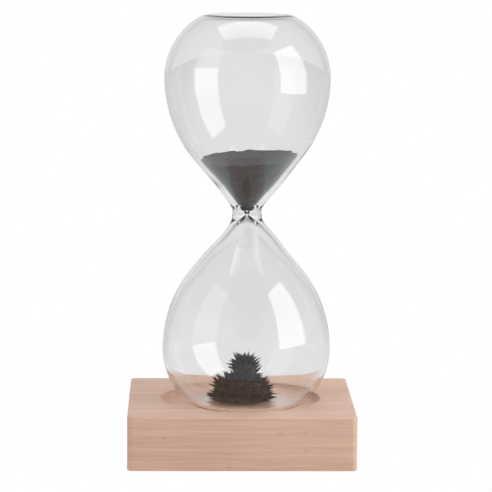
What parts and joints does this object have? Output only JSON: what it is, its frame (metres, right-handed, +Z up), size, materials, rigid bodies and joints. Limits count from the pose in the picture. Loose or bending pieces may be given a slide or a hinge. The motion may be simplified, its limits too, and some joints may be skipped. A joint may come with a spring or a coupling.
{
  "type": "magnetic hourglass desk sculpture",
  "caption": "Sealed glass hourglass with black iron powder, standing loose in a round dish in a square beech block with a magnet hidden under the dish.",
  "frame": {"origin": "centre of the wooden block's underside, on the surface that the object stands on", "axes": "+Z up along the hourglass, +X to the right and -Y towards the viewer, square to the block's sides"},
  "size_m": [0.08, 0.08, 0.1564],
  "materials": {
    "beech": "fine sanded, unvarnished",
    "plug_beech": "sanded end grain",
    "nickel": "nickel plated",
    "clear_glass": "blown, polished",
    "iron_powder": "loose powder, matt",
    "iron_spikes": "powder drawn into fine needles, matt"
  },
  "bodies": {
    "stand": {"base_block": "beech", "disc_magnet": "nickel", "magnet_plug": "plug_beech"},
    "pile": {"lower_powder": "iron_spikes"},
    "hourglass": {"glass_vessel": "clear_glass", "upper_powder": "iron_powder"}
  },
  "joints": [
    {"name": "glass_lift", "type": "slide", "parent": "stand", "child": "pile", "axis": [0, 0, 1], "range_m": [0, 0.12], "deforming": ["lower_powder"]},
    {"name": "glass_swivel", "type": "hinge", "parent": "pile", "child": "hourglass", "pos_m": [0.002, 0, 0.0854], "axis": [0, 0, 1], "continuous": true}
  ]
}
